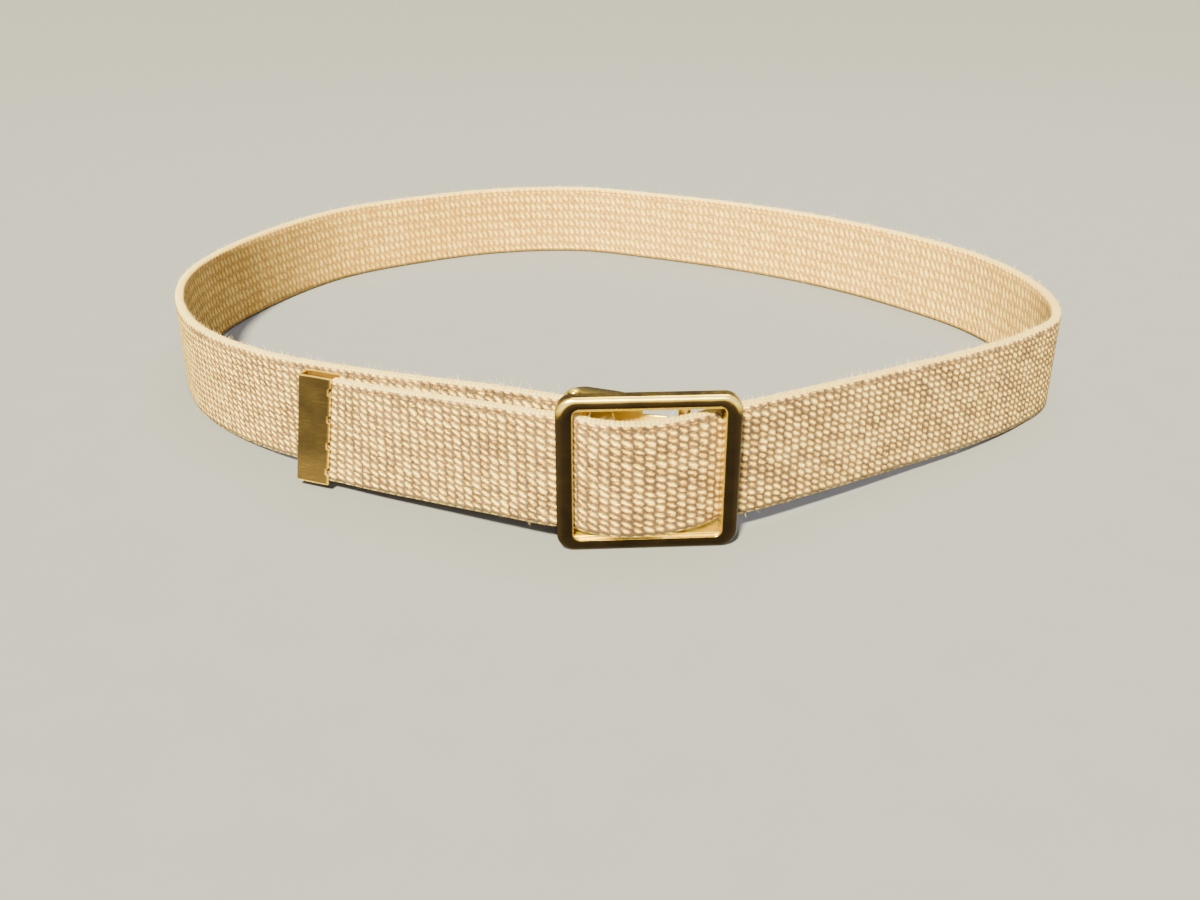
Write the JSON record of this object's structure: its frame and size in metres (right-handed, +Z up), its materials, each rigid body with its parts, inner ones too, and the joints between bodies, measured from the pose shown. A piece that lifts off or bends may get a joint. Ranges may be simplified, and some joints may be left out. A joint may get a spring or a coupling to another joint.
{
  "type": "canvas web belt",
  "caption": "Canvas web belt fastened in a loop, with an open rectangular metal buckle, a clamp lever behind it and a folded metal tip on the tongue.",
  "frame": {"origin": "middle of the fastened belt's footprint, on the surface that it stands on", "axes": "+Z up across the web's width, -Y the way that the buckle's open face looks, +X to the right of someone who looks at the buckle"},
  "size_m": [0.3084, 0.3162, 0.042],
  "materials": {
    "web_cotton": "coarse cream cotton weave, matte",
    "gold_plate": "polished gold plate",
    "lever_metal": "satin gold plate",
    "pin_metal": "polished gold plate, peened heads",
    "bar_metal": "satin gold plate",
    "tip_metal": "brushed gold, lightly scratched"
  },
  "bodies": {
    "root": {"web_strap": "web_cotton", "buckle_frame": "gold_plate", "clamp_lever": "lever_metal", "hinge_pin": "pin_metal", "friction_bar": "bar_metal", "belt_tip": "tip_metal"}
  },
  "joints": []
}
